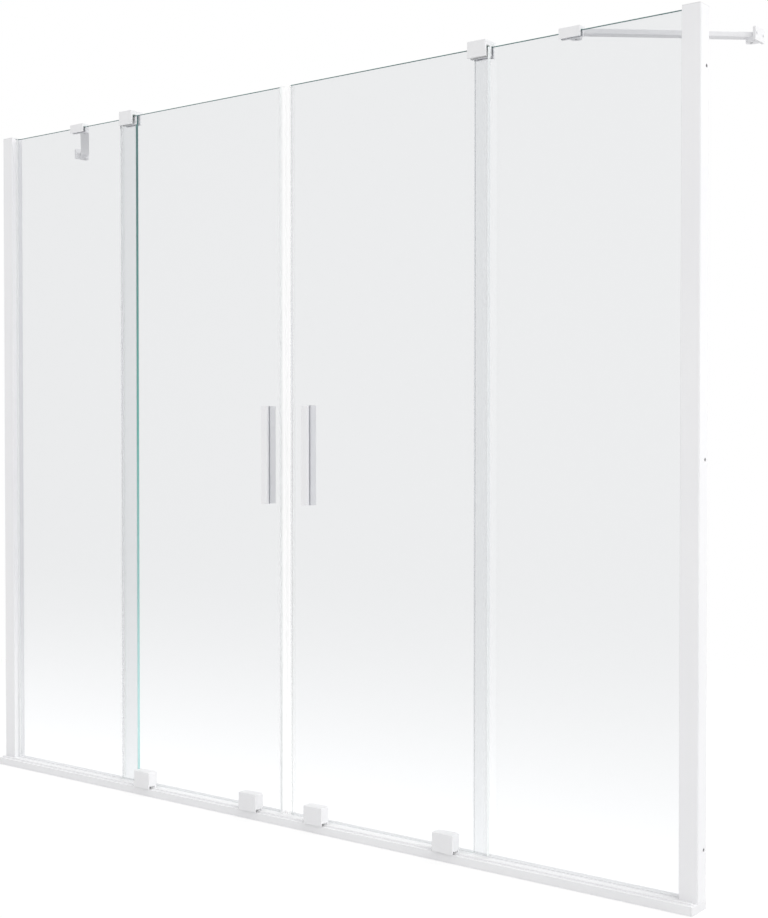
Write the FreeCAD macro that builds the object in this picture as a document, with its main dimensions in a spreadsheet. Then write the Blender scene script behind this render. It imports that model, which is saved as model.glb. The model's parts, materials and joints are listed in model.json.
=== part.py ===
import FreeCAD, Part
import math
import operator
import os
from types import SimpleNamespace

import Sketcher

# Sliding bath screen for a niche: two fixed panes, two sliding doors that meet in the middle, a
# bottom rail with a roller track, wall profiles, top guides and braces back to the walls.
# X runs along the bath, Y points away from the room into the bath, Z is up. The origin is on the
# bath rim, under the mid-plane of the fixed panes, half-way between the walls.

# Driving dimensions in millimetres, angles in degrees.
SIZES = {
    # Screen and glass
    "screen_width": 1800,
    "screen_height": 1500,
    "glass_thickness": 8,
    "glass_arris": 0.6,
    "pane_gap": 7,
    "fixed_sight": 417.5,
    "fixed_drop": 3.5,
    "door_drop": 2.5,
    "door_overlap": 38.5,
    "door_floor_gap": 5,
    "seam_glass_gap": 28,
    # Bottom rail
    "rail_height": 16,
    "rail_wall": 2,
    "rail_nosing": 9,
    "rail_corner": 1,
    "track_width": 4,
    "track_rise": 3,
    "track_crown": 1.5,
    "channel_floor": 3,
    "bed_gasket_wall": 2,
    "bed_lip": 2,
    "infill_wall": 1.5,
    "end_cap_thickness": 4,
    "end_cap_round": 2.5,
    "plug_length": 10,
    "fit_gap": 0.2,
    # Wall profiles
    "profile_width": 33.5,
    "profile_depth": 33.6,
    "profile_wall": 1.8,
    "profile_corner": 0.8,
    "profile_stop": 0.5,
    "pocket_depth": 16.7,
    "glazing_side": 3,
    "glazing_back": 2,
    "glazing_lip": 5.5,
    "glazing_lip_wall": 1.5,
    "leg_gap": 1.5,
    "top_cap_thickness": 2,
    "top_cap_peg": 6,
    "wall_hole_radius": 3.25,
    "wall_hole_inset": 100,
    "wall_hole_offset": 7,
    "lock_screw_inset": 250,
    "lock_screw_radius": 2,
    "lock_screw_length": 6,
    "lock_head_radius": 4,
    "lock_head_height": 2,
    "screw_clearance": 0.1,
    # Top guides
    "guide_length": 40,
    "guide_overhang": 4,
    "guide_height": 30,
    "guide_rise": 10.5,
    "guide_leg": 4.5,
    "guide_round": 1,
    "slot_roof_gap": 1,
    "liner_wall": 1,
    "liner_clearance": 0.4,
    "clamp_gap": 1,
    "set_screw_radius": 2.5,
    "set_screw_spread": 20,
    "set_screw_lift": 8,
    "clip_screw_lift": 5,
    "socket_radius": 1.25,
    "socket_depth": 2.5,
    # Braces
    "brace_reach": 252,
    "brace_angle": 41,
    "bar_width": 20,
    "bar_thickness": 9,
    "bar_chamfer": 0.6,
    "pivot_gap": 1,
    "clip_width": 43,
    "clip_height": 18.5,
    "clip_rise": 8,
    "clip_leg": 3,
    "clip_back_leg": 6,
    "clip_round": 1,
    "lug_thickness": 8,
    "pivot_radius": 2.5,
    "pivot_head_radius": 4.5,
    "pivot_head_height": 3,
    "bracket_thickness": 5,
    "bracket_width": 40,
    "bracket_height": 24.5,
    "bracket_corner": 4,
    "bracket_hole_radius": 2.75,
    "bracket_hole_spread": 28,
    "bracket_hole_drop": 12,
    # Seals
    "seal_wall": 1,
    "seal_grip": 8,
    "seal_bevel": 2,
    "seam_clearance": 0.6,
    "edge_web": 1.5,
    "fin_width": 1,
    "fin_lean": 1.6,
    "fin_clearance": 0.3,
    "edge_seal_drop": 3,
    # Handles
    "handle_width": 16,
    "handle_height": 200,
    "handle_base": 650,
    "handle_inset": 40,
    "handle_round": 2,
    "outer_grip_depth": 6,
    "inner_grip_depth": 19,
    "handle_screw_radius": 2.5,
    "handle_screw_spread": 140,
    "handle_screw_bite": 4,
    "handle_head_radius": 4,
    "handle_head_height": 3,
    "glass_hole_radius": 5,
    # Roller units
    "roller_inset_outer": 85.5,
    "roller_inset_inner": 74,
    "wheel_radius": 13,
    "wheel_width": 10,
    "flange_rise": 2.5,
    "groove_root": 4.8,
    "groove_mouth": 6.4,
    "rolling_clearance": 0.3,
    "wheel_gap": 1,
    "wheel_lip": 0.9,
    "bearing_outer_radius": 7.5,
    "bearing_width": 5,
    "bearing_race": 1.2,
    "shield_recess": 0.4,
    "axle_radius": 3,
    "axle_clearance": 0.05,
    "axle_shoulder": 1.5,
    "axle_end_play": 0.1,
    "axle_head": 2,
    "carrier_thickness": 3,
    "carrier_lift": 4,
    "cover_wall": 2,
    "cover_side_room": 6,
    "cover_head_room": 3.5,
    "cover_floor_gap": 1,
    "cover_proud": 4,
    "cover_round": 1.6,
    "notch_height": 5.5,
    "notch_reach": 5,
    "clamp_plate_thickness": 2.5,
    "clamp_plate_width": 36,
    "clamp_plate_height": 27,
    "clamp_plate_corner": 3,
    "clamp_screw_radius": 2.5,
    "clamp_screw_spread": 24,
    "clamp_screw_lift": 11,
    "clamp_head_radius": 4.5,
    "clamp_head_height": 1.5,
}

SHEET = "Sizes"
PLANES = {"X": "YZ_Plane", "Y": "XZ_Plane", "Z": "XY_Plane"}
OPERATIONS = {
    "+": operator.add,
    "-": operator.sub,
    "*": operator.mul,
    "/": operator.truediv,
}
ON_PLANE = 1e-4
LEAST_CUT = 0.01
SIDES = {"left": -1, "right": 1}


class Size:
    """A number that keeps the sheet formula it comes from."""

    def __init__(self, number, formula):
        self.number = number
        self.formula = formula

    def __add__(self, other):
        return combine(self, "+", other)

    def __radd__(self, other):
        return combine(other, "+", self)

    def __sub__(self, other):
        return combine(self, "-", other)

    def __rsub__(self, other):
        return combine(other, "-", self)

    def __mul__(self, other):
        return combine(self, "*", other)

    def __rmul__(self, other):
        return combine(other, "*", self)

    def __truediv__(self, other):
        return combine(self, "/", other)

    def __neg__(self):
        return combine(-1, "*", self)


def as_size(value):
    if isinstance(value, Size):
        return value
    return Size(float(value), f"({value})")


def combine(left, sign, right):
    left = as_size(left)
    right = as_size(right)
    number = OPERATIONS[sign](left.number, right.number)
    return Size(number, f"({left.formula} {sign} {right.formula})")


def tangent(angle):
    return Size(math.tan(math.radians(angle.number)), f"tan({angle.formula} * 1 deg)")


def cosine(angle):
    return Size(math.cos(math.radians(angle.number)), f"cos({angle.formula} * 1 deg)")


document = FreeCAD.newDocument("BathScreen")
sheet = document.addObject("Spreadsheet::Sheet", SHEET)
nodes = {}


def enter(name, text):
    """Writes one named cell of the sheet."""
    enter.row += 1
    sheet.set(f"A{enter.row}", name)
    sheet.set(f"B{enter.row}", text)
    sheet.setAlias(f"B{enter.row}", name)


enter.row = 0


def driving_sizes():
    """Puts the driving dimensions in the sheet and gives them back by name."""
    for name, value in SIZES.items():
        enter(name, str(value))
    return SimpleNamespace(**{name: Size(value, f"{SHEET}.{name}") for name, value in SIZES.items()})


def derived(name, size):
    """Puts a formula in the sheet and gives back the size under its own name."""
    enter(name, "=" + size.formula.replace(f"{SHEET}.", ""))
    return Size(size.number, f"{SHEET}.{name}")


dim = driving_sizes()

# Stations along X, measured from the middle towards either wall.
half_width = derived("half_width", dim.screen_width / 2)
profile_inner = derived("profile_inner", half_width - dim.profile_width)
glazing_mouth = derived("glazing_mouth", profile_inner - dim.glazing_lip)
pocket_end = derived("pocket_end", profile_inner + dim.pocket_depth)
web_end = derived("web_end", pocket_end + dim.profile_wall)
leg_start = derived("leg_start", web_end + dim.leg_gap)
profile_end = derived("profile_end", half_width - dim.profile_stop)
rail_end = derived("rail_end", half_width - dim.end_cap_thickness)
fixed_edge = derived("fixed_edge", profile_inner - dim.fixed_sight)
door_inner = derived("door_inner", dim.seam_glass_gap / 2)
door_outer = derived("door_outer", fixed_edge + dim.door_overlap)
handle_x = derived("handle_x", door_inner + dim.handle_inset)
roller_x = {
    "inner": derived("roller_inner", door_inner + dim.roller_inset_inner),
    "outer": derived("roller_outer", door_outer - dim.roller_inset_outer),
}
clip_x = derived("clip_x", half_width - dim.brace_reach)

# Stations along Y, from the mid-plane of the fixed panes.
glass_half = derived("glass_half", dim.glass_thickness / 2)
door_back = derived("door_back", -glass_half - dim.pane_gap)
door_front = derived("door_front", door_back - dim.glass_thickness)
carrier_face = derived("carrier_face", door_front - dim.carrier_thickness)
track_y = derived("track_y", carrier_face - dim.wheel_gap - dim.wheel_width / 2)
rail_front = derived("rail_front", track_y - dim.rail_nosing)
cover_front = derived("cover_front", rail_front - dim.cover_proud)
profile_half = derived("profile_half", dim.profile_depth / 2)
pocket_half = derived("pocket_half", glass_half + dim.glazing_side)
channel_half = derived("channel_half", glass_half + dim.bed_gasket_wall)
wall_channel_half = derived("wall_channel_half", profile_half - dim.profile_wall - dim.fit_gap)
clip_back = derived("clip_back", glass_half + dim.clamp_gap + dim.clip_back_leg)
clip_pivot_y = derived("clip_pivot_y", clip_back + dim.pivot_gap + dim.bar_width / 2)

# Heights.
profile_top = derived("profile_top", dim.screen_height - dim.top_cap_thickness)
fixed_top = derived("fixed_top", dim.screen_height - dim.fixed_drop)
door_top = derived("door_top", fixed_top - dim.door_drop)
door_bottom = derived("door_bottom", dim.rail_height + dim.door_floor_gap)
glass_seat = derived("glass_seat", dim.channel_floor + dim.bed_gasket_wall)
guide_top = derived("guide_top", fixed_top + dim.guide_rise)
guide_bottom = derived("guide_bottom", guide_top - dim.guide_height)
slot_roof = derived("slot_roof", fixed_top + dim.slot_roof_gap)
clip_top = derived("clip_top", fixed_top + dim.clip_rise)
clip_bottom = derived("clip_bottom", clip_top - dim.clip_height)
bar_bottom = derived("bar_bottom", clip_top - dim.bar_thickness)
lug_bottom = derived("lug_bottom", bar_bottom - dim.lug_thickness)
axle_z = derived("axle_z", dim.rail_height + dim.track_rise + dim.wheel_radius)
flange_radius = derived("flange_radius", dim.wheel_radius + dim.flange_rise)
cover_bottom = derived("cover_bottom", dim.rail_height + dim.cover_floor_gap)
cover_ceiling = derived("cover_ceiling", axle_z + flange_radius + dim.cover_head_room)
cover_top = derived("cover_top", cover_ceiling + dim.cover_wall)
cover_inside = derived("cover_inside", flange_radius + dim.cover_side_room)
cover_half = derived("cover_half", cover_inside + dim.cover_wall)
clamp_screw_z = derived("clamp_screw_z", axle_z + dim.clamp_screw_lift)

# The brace runs from a pivot behind the clip to a pivot beside the wall.
bracket_face = derived("bracket_face", half_width - dim.bracket_thickness)
wall_pivot_x = derived("wall_pivot_x", bracket_face - dim.pivot_gap - dim.bar_width / 2)
brace_run = derived("brace_run", wall_pivot_x - clip_x)
wall_pivot_y = derived("wall_pivot_y", clip_pivot_y + brace_run * tangent(dim.brace_angle))
brace_length = derived("brace_length", brace_run / cosine(dim.brace_angle))
document.recompute()


def bind(item, path, size):
    """Ties one property to its formula."""
    item.setExpression(path, as_size(size).formula)


def new_body(name):
    body = document.addObject("PartDesign::Body", name)
    body.Label = name
    return body


def piece(name):
    """A body that is a node of its own."""
    nodes[name] = new_body(name)
    return nodes[name]


def group(name, members):
    """One node that holds several like solids."""
    nodes[name] = document.addObject("Part::Compound", name)
    nodes[name].Label = name
    nodes[name].Links = members


def sketch_on(body, axis, place):
    """Empty sketch square to an axis; place gives its origin in the sketch's own axes."""
    plane = next(item for item in body.Origin.OriginFeatures if item.Role == PLANES[axis])
    sketch = body.newObject("Sketcher::SketchObject", f"{body.Name}_sketch")
    sketch.AttachmentSupport = [(plane, "")]
    sketch.MapMode = "FlatFace"
    for letter, size in zip("xyz", place):
        bind(sketch, f"AttachmentOffset.Base.{letter}", size)
    return sketch


def tie(sketch, kind, geometry, point, size):
    """Adds one dimension to a sketch point and ties it to its formula."""
    index = sketch.addConstraint(Sketcher.Constraint(kind, geometry, point, size.number))
    bind(sketch, f"Constraints[{index}]", size)


def draw_loop(sketch, corners):
    """Closed outline of straight lines whose corners are tied to sizes."""
    corners = [(as_size(across), as_size(up)) for across, up in corners]
    points = [FreeCAD.Vector(across.number, up.number, 0) for across, up in corners]
    first = sketch.GeometryCount
    count = len(points)
    for i in range(count):
        sketch.addGeometry(Part.LineSegment(points[i], points[(i + 1) % count]))
    for i in range(count):
        following = first + (i + 1) % count
        sketch.addConstraint(Sketcher.Constraint("Coincident", first + i, 2, following, 1))
    for i, (across, up) in enumerate(corners):
        tie(sketch, "DistanceX", first + i, 1, across)
        tie(sketch, "DistanceY", first + i, 1, up)


def draw_ring(sketch, across, up, radius):
    """Circle whose centre and radius are tied to sizes."""
    across = as_size(across)
    up = as_size(up)
    centre = FreeCAD.Vector(across.number, up.number, 0)
    index = sketch.GeometryCount
    sketch.addGeometry(Part.Circle(centre, FreeCAD.Vector(0, 0, 1), radius.number))
    tie(sketch, "DistanceX", index, 3, across)
    tie(sketch, "DistanceY", index, 3, up)
    size_index = sketch.addConstraint(Sketcher.Constraint("Radius", index, radius.number))
    bind(sketch, f"Constraints[{size_index}]", radius)


def prism(body, kind, axis, station, length, loops, rings):
    """Straight feature from a sketch at a station; a sketch across Y faces the viewer."""
    sketch = sketch_on(body, axis, (0, 0, -station if axis == "Y" else station))
    for corners in loops:
        draw_loop(sketch, corners)
    for ring in rings:
        draw_ring(sketch, *ring)
    feature = body.newObject(f"PartDesign::{kind}", f"{body.Name}_{kind.lower()}")
    feature.Profile = sketch
    bind(feature, "Length", length)


def extrude(body, axis, start, end, loops=(), rings=()):
    """Adds a prism between two stations of an axis."""
    start = as_size(start)
    end = as_size(end)
    prism(body, "Pad", axis, end if axis == "Y" else start, end - start, loops, rings)


def cut(body, axis, start, end, loops=(), rings=()):
    """Takes a prism away between two stations of an axis."""
    start = as_size(start)
    end = as_size(end)
    prism(body, "Pocket", axis, start if axis == "Y" else end, end - start, loops, rings)


def turn(body, axis, centre, outline):
    """Adds a solid of revolution; the outline gives places along the axis and out from it."""
    x, y, z = (as_size(part) for part in centre)
    if axis == "Y":
        sketch = sketch_on(body, "X", (y, z, x))
        draw_loop(sketch, outline)
    else:
        sketch = sketch_on(body, "Y", (x, z, -y))
        draw_loop(sketch, [(out, along) for along, out in outline])
    feature = body.newObject("PartDesign::Revolution", f"{body.Name}_turned")
    feature.Profile = sketch
    feature.ReferenceAxis = (sketch, ["H_Axis" if axis == "Y" else "V_Axis"])
    feature.Angle = 360


def lies_on(edge, axis, size):
    """True where a whole edge lies on the plane at a station of an axis."""
    box = edge.BoundBox
    low = getattr(box, f"{axis}Min")
    high = getattr(box, f"{axis}Max")
    number = as_size(size).number
    return abs(low - number) < ON_PLANE and abs(high - number) < ON_PLANE


def dress(body, kind, size, corners):
    """Fillets or chamfers the edges where pairs of planes meet."""
    document.recompute()
    base = body.Tip
    names = []
    for number, edge in enumerate(base.Shape.Edges, 1):
        if any(all(lies_on(edge, axis, place) for axis, place in pair) for pair in corners):
            names.append(f"Edge{number}")
    feature = body.newObject(f"PartDesign::{kind}", f"{body.Name}_{kind.lower()}")
    feature.Base = (base, names)
    bind(feature, "Radius" if kind == "Fillet" else "Size", size)


def span(side, near, far):
    """The two stations of a stretch on one side of the middle, lower one first."""
    return (near, far) if side > 0 else (-far, -near)


def mirrored(side, corners):
    """An outline drawn for the right-hand side, on the given side."""
    return [(side * across, up) for across, up in corners]


def rectangle(left, right, low, high):
    return [(left, low), (right, low), (right, high), (left, high)]


def bottom_rail():
    """Hollow extrusion with a crowned track for the rollers and a channel for the fixed panes."""
    track_left = track_y - dim.track_width / 2
    track_right = track_y + dim.track_width / 2
    track_top = dim.rail_height + dim.track_rise
    section = [
        (rail_front, 0),
        (rail_front, dim.rail_height),
        (track_left, dim.rail_height),
        (track_left, track_top),
        (track_right, track_top),
        (track_right, dim.rail_height),
        (-channel_half, dim.rail_height),
        (-channel_half, dim.channel_floor),
        (channel_half, dim.channel_floor),
        (channel_half, dim.rail_height),
        (profile_half, dim.rail_height),
        (profile_half, 0),
    ]
    wall = dim.rail_wall
    ceiling = dim.rail_height - wall
    front_chamber = rectangle(rail_front + wall, -channel_half - wall, wall, ceiling)
    back_chamber = rectangle(channel_half + wall, profile_half - wall, wall, ceiling)
    body = piece("bottom_rail")
    extrude(body, "X", -rail_end, rail_end, [section, front_chamber, back_chamber])
    dress(body, "Fillet", dim.track_crown, [
        (("Y", track_left), ("Z", track_top)),
        (("Y", track_right), ("Z", track_top)),
    ])
    dress(body, "Fillet", dim.rail_corner, [(("Y", rail_front), ("Z", dim.rail_height))])


def rail_end_cap(name, side):
    """Moulded cap that covers the rail's end and plugs into its front chamber."""
    body = piece(f"rail_end_cap_{name}")
    face = rectangle(rail_front, profile_half, 0, dim.rail_height)
    extrude(body, "X", *span(side, rail_end, half_width), [face])
    inset = dim.rail_wall + dim.fit_gap
    plug = rectangle(rail_front + inset, -channel_half - inset, inset, dim.rail_height - inset)
    extrude(body, "X", *span(side, rail_end - dim.plug_length, rail_end), [plug])
    dress(body, "Fillet", dim.end_cap_round, [
        (("X", side * half_width), ("Z", dim.rail_height)),
        (("X", side * half_width), ("Y", rail_front)),
    ])
    dress(body, "Fillet", dim.rail_corner, [(("Y", rail_front), ("Z", dim.rail_height))])


def channel_infill_strip():
    """Snap-in strip that closes the glazing channel between the fixed panes."""
    body = piece("channel_infill_strip")
    outer = channel_half - dim.fit_gap
    inner = outer - dim.infill_wall
    ceiling = dim.rail_height - dim.infill_wall
    section = [
        (-outer, dim.channel_floor),
        (-outer, dim.rail_height),
        (outer, dim.rail_height),
        (outer, dim.channel_floor),
        (inner, dim.channel_floor),
        (inner, ceiling),
        (-inner, ceiling),
        (-inner, dim.channel_floor),
    ]
    reach = fixed_edge - dim.fit_gap
    extrude(body, "X", -reach, reach, [section])


def wall_hole_heights():
    low = dim.wall_hole_inset
    high = dim.screen_height - dim.wall_hole_inset
    return [low, (low + high) / 2, high]


def lock_screw_heights():
    return [dim.lock_screw_inset, dim.screen_height - dim.lock_screw_inset]


def lock_screw_x():
    return (leg_start + half_width) / 2


def wall_channel(name, side):
    """Channel screwed to the wall; the pane profile slips over its legs."""
    body = piece(f"wall_channel_{name}")
    outer = wall_channel_half
    inner = outer - dim.profile_wall
    web = half_width - dim.profile_wall
    section = [
        (leg_start, -outer),
        (half_width, -outer),
        (half_width, outer),
        (leg_start, outer),
        (leg_start, inner),
        (web, inner),
        (web, -inner),
        (leg_start, -inner),
    ]
    extrude(body, "Z", dim.rail_height, profile_top, [mirrored(side, section)])
    wall_holes = [(dim.wall_hole_offset, height, dim.wall_hole_radius) for height in wall_hole_heights()]
    cut(body, "X", *span(side, web, half_width), rings=wall_holes)
    radius = dim.lock_screw_radius + dim.screw_clearance
    lock_holes = [(side * lock_screw_x(), height, radius) for height in lock_screw_heights()]
    cut(body, "Y", inner, outer, rings=lock_holes)


def pane_profile(name, side):
    """Visible upright: a glass pocket, two hollow chambers and legs that reach to the wall."""
    body = piece(f"pane_profile_{name}")
    wall = dim.profile_wall
    leg = profile_half - wall
    section = [
        (profile_inner, -profile_half),
        (profile_end, -profile_half),
        (profile_end, -leg),
        (web_end, -leg),
        (web_end, leg),
        (profile_end, leg),
        (profile_end, profile_half),
        (profile_inner, profile_half),
        (profile_inner, pocket_half),
        (pocket_end, pocket_half),
        (pocket_end, -pocket_half),
        (profile_inner, -pocket_half),
    ]
    loops = [section]
    for face in (-1, 1):
        loops.append([(across, face * up) for across, up in chamber_outline(0)])
    extrude(body, "Z", dim.rail_height, profile_top, [mirrored(side, corners) for corners in loops])
    radius = dim.lock_screw_radius + dim.screw_clearance
    lock_holes = [(side * lock_screw_x(), height, radius) for height in lock_screw_heights()]
    cut(body, "Y", leg, profile_half, rings=lock_holes)
    dress(body, "Fillet", dim.profile_corner, [
        (("X", side * profile_inner), ("Y", -profile_half)),
        (("X", side * profile_inner), ("Y", profile_half)),
    ])


def chamber_outline(inset):
    """Hollow chamber beside the glass pocket, drawn smaller by an inset."""
    wall = dim.profile_wall
    left = profile_inner + wall + inset
    low = pocket_half + wall + inset
    return rectangle(left, pocket_end - inset, low, profile_half - wall - inset)


def profile_top_caps():
    """Flat caps on the uprights, each with two pegs in the hollow chambers."""
    caps = []
    for name, side in SIDES.items():
        body = new_body(f"profile_top_cap_{name}")
        plate = rectangle(profile_inner, profile_end, -profile_half, profile_half)
        extrude(body, "Z", profile_top, dim.screen_height, [mirrored(side, plate)])
        for face in (-1, 1):
            peg = [(across, face * up) for across, up in chamber_outline(dim.fit_gap)]
            extrude(body, "Z", profile_top - dim.top_cap_peg, profile_top, [mirrored(side, peg)])
        dress(body, "Fillet", dim.profile_corner, [
            (("X", side * profile_inner), ("Y", -profile_half)),
            (("X", side * profile_inner), ("Y", profile_half)),
        ])
        caps.append(body)
    group("profile_top_caps", caps)


def profile_screws():
    """Screws that lock each pane profile to its wall channel, driven from the bath side."""
    screws = []
    for name, side in SIDES.items():
        for number, height in enumerate(lock_screw_heights(), 1):
            body = new_body(f"profile_screw_{name}_{number}")
            outline = [
                (-dim.lock_screw_length, 0),
                (-dim.lock_screw_length, dim.lock_screw_radius),
                (0, dim.lock_screw_radius),
                (0, dim.lock_head_radius),
                (dim.lock_head_height, dim.lock_head_radius),
                (dim.lock_head_height, 0),
            ]
            turn(body, "Y", (side * lock_screw_x(), profile_half, height), outline)
            screws.append(body)
    group("profile_screws", screws)


def arris(body, planes):
    """Takes the sharpness off the long edges of a pane, as ground glass edges have it."""
    pairs = [(first, second) for i, first in enumerate(planes) for second in planes[i + 1:]]
    dress(body, "Chamfer", dim.glass_arris, pairs)


def fixed_pane(name, side):
    """Toughened pane that stands in the rail's channel and the upright's pocket."""
    body = piece(f"fixed_pane_{name}")
    far = pocket_end - dim.glazing_back
    sheet_outline = rectangle(fixed_edge, far, glass_seat, fixed_top)
    extrude(body, "Y", -glass_half, glass_half, [mirrored(side, sheet_outline)])
    arris(body, [
        ("X", side * fixed_edge),
        ("Y", -glass_half),
        ("Y", glass_half),
        ("Z", fixed_top),
    ])


def glazing_gasket(name, side):
    """Soft channel between the glass edge and the upright's pocket, with a thin lip on the room side."""
    body = piece(f"glazing_gasket_{name}")
    seat = pocket_end - dim.glazing_back
    lip_front = -glass_half - dim.glazing_lip_wall
    section = [
        (glazing_mouth, lip_front),
        (profile_inner, lip_front),
        (profile_inner, -pocket_half),
        (pocket_end, -pocket_half),
        (pocket_end, pocket_half),
        (profile_inner, pocket_half),
        (profile_inner, glass_half),
        (seat, glass_half),
        (seat, -glass_half),
        (glazing_mouth, -glass_half),
    ]
    extrude(body, "Z", dim.rail_height, fixed_top, [mirrored(side, section)])


def bed_gasket(name, side):
    """Soft channel that beds a fixed pane in the rail, with a lip that rises in front of the glass."""
    body = piece(f"bed_gasket_{name}")
    section = [
        (-channel_half, dim.channel_floor),
        (channel_half, dim.channel_floor),
        (channel_half, dim.rail_height),
        (glass_half, dim.rail_height),
        (glass_half, glass_seat),
        (-glass_half, glass_seat),
        (-glass_half, dim.rail_height),
        (-channel_half, dim.rail_height),
    ]
    extrude(body, "X", *span(side, fixed_edge, rail_end), [section])
    lip = rectangle(-channel_half, -glass_half, glass_seat, dim.rail_height + dim.bed_lip)
    extrude(body, "X", *span(side, fixed_edge, glazing_mouth), [lip])


def door_slot():
    """The two faces of the guide's slot for the sliding door, liner included."""
    room = dim.liner_clearance + dim.liner_wall
    return door_front - room, door_back + room


def guide_reach():
    near = fixed_edge - dim.guide_overhang
    return near, near + dim.guide_length


def top_guide(name, side):
    """Cast block with three legs: it clamps the fixed pane and leads the door beside it."""
    body = piece(f"top_guide_{name}")
    slot_front, slot_back = door_slot()
    front = slot_front - dim.guide_leg
    leg = glass_half + dim.clamp_gap
    back = leg + dim.guide_leg
    section = [
        (front, guide_bottom),
        (front, guide_top),
        (back, guide_top),
        (back, guide_bottom),
        (leg, guide_bottom),
        (leg, slot_roof),
        (-glass_half, slot_roof),
        (-glass_half, guide_bottom),
        (slot_back, guide_bottom),
        (slot_back, slot_roof),
        (slot_front, slot_roof),
        (slot_front, guide_bottom),
    ]
    near, far = guide_reach()
    extrude(body, "X", *span(side, near, far), [section])
    radius = dim.set_screw_radius + dim.screw_clearance
    holes = [(side * place, height, radius) for place, height in guide_screw_places()]
    cut(body, "Y", leg, back, rings=holes)
    ends = [("X", side * near), ("X", side * far)]
    corners = [(("Y", front), ("Z", guide_top)), (("Y", back), ("Z", guide_top))]
    for end in ends:
        corners += [(end, ("Y", front)), (end, ("Z", guide_top)), (end, ("Y", back))]
    dress(body, "Fillet", dim.guide_round, corners)


def guide_liner(name, side):
    """Low-friction channel in the guide's slot, where the door glass slides."""
    body = piece(f"guide_liner_{name}")
    slot_front, slot_back = door_slot()
    inner_front = slot_front + dim.liner_wall
    inner_back = slot_back - dim.liner_wall
    ceiling = slot_roof - dim.liner_wall
    section = [
        (slot_front, guide_bottom),
        (slot_front, slot_roof),
        (slot_back, slot_roof),
        (slot_back, guide_bottom),
        (inner_back, guide_bottom),
        (inner_back, ceiling),
        (inner_front, ceiling),
        (inner_front, guide_bottom),
    ]
    near, far = guide_reach()
    extrude(body, "X", *span(side, near + dim.guide_round, far - dim.guide_round), [section])


def guide_screw_places():
    near, far = guide_reach()
    middle = (near + far) / 2
    height = guide_bottom + dim.set_screw_lift
    return [(middle + end * dim.set_screw_spread / 2, height) for end in (-1, 1)]


def clip_screw_places():
    height = clip_bottom + dim.clip_screw_lift
    return [(clip_x + end * dim.set_screw_spread * 3 / 4, height) for end in (-1, 1)]


def set_screw(name, place, height, side, length):
    """Headless screw with a hexagon-key socket that presses on the back of the glass."""
    body = new_body(name)
    outline = [
        (0, 0),
        (0, dim.set_screw_radius),
        (length, dim.set_screw_radius),
        (length, dim.socket_radius),
        (length - dim.socket_depth, dim.socket_radius),
        (length - dim.socket_depth, 0),
    ]
    turn(body, "Y", (side * place, glass_half, height), outline)
    return body


def clamp_set_screws():
    """Set screws of both guides and both brace clips."""
    screws = []
    for name, side in SIDES.items():
        guide_length = dim.clamp_gap + dim.guide_leg
        clip_length = dim.clamp_gap + dim.clip_back_leg
        for number, (place, height) in enumerate(guide_screw_places(), 1):
            screws.append(set_screw(f"guide_screw_{name}_{number}", place, height, side, guide_length))
        for number, (place, height) in enumerate(clip_screw_places(), 1):
            screws.append(set_screw(f"clip_screw_{name}_{number}", place, height, side, clip_length))
    group("clamp_set_screws", screws)


def brace_clip(name, side):
    """Saddle on the fixed pane's top edge, with a lug behind it that carries the brace bar."""
    body = piece(f"brace_clip_{name}")
    front = -glass_half - dim.clip_leg
    leg = glass_half + dim.clamp_gap
    roof = fixed_top + dim.slot_roof_gap
    section = [
        (front, clip_bottom),
        (front, clip_top),
        (clip_back, clip_top),
        (clip_back, clip_bottom),
        (leg, clip_bottom),
        (leg, roof),
        (-glass_half, roof),
        (-glass_half, clip_bottom),
    ]
    half = dim.clip_width / 2
    ends = span(side, clip_x - half, clip_x + half)
    extrude(body, "X", *ends, [section])
    corners = [(("Y", front), ("Z", clip_top))]
    for end in ends:
        corners += [(("X", end), ("Y", front)), (("X", end), ("Z", clip_top))]
    dress(body, "Fillet", dim.clip_round, corners)
    lug_half = dim.bar_width / 2
    tongue = rectangle(side * clip_x - lug_half, side * clip_x + lug_half, clip_back, clip_pivot_y)
    extrude(body, "Z", lug_bottom, bar_bottom, [tongue])
    extrude(body, "Z", lug_bottom, bar_bottom, rings=[(side * clip_x, clip_pivot_y, lug_half)])
    bore = dim.pivot_radius + dim.screw_clearance
    cut(body, "Z", lug_bottom, bar_bottom, rings=[(side * clip_x, clip_pivot_y, bore)])
    radius = dim.set_screw_radius + dim.screw_clearance
    holes = [(side * place, height, radius) for place, height in clip_screw_places()]
    cut(body, "Y", leg, clip_back, rings=holes)


def brace_bar(name, side):
    """Flat bar with round ends, laid out along its own X axis and swung to the brace angle."""
    body = piece(f"brace_bar_{name}")
    half = dim.bar_width / 2
    top = bar_bottom + dim.bar_thickness
    extrude(body, "Z", bar_bottom, top, [rectangle(0, brace_length, -half, half)])
    for end in (0, brace_length):
        extrude(body, "Z", bar_bottom, top, rings=[(end, 0, half)])
    bore = dim.pivot_radius + dim.screw_clearance
    sink = dim.pivot_head_radius + dim.screw_clearance
    cut(body, "Z", bar_bottom, top, rings=[(end, 0, bore) for end in (0, brace_length)])
    cut(body, "Z", top - dim.pivot_head_height, top, rings=[(end, 0, sink) for end in (0, brace_length)])
    dress(body, "Chamfer", dim.bar_chamfer, [
        (("Y", face * half), ("Z", level)) for face in (-1, 1) for level in (bar_bottom, top)
    ])
    swing = dim.brace_angle if side > 0 else 180 - dim.brace_angle
    body.Placement.Rotation.Axis = FreeCAD.Vector(0, 0, 1)
    body.setExpression("Placement.Rotation.Angle", f"{swing.formula} * 1 deg")
    bind(body, "Placement.Base.x", side * clip_x)
    bind(body, "Placement.Base.y", clip_pivot_y)


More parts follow.
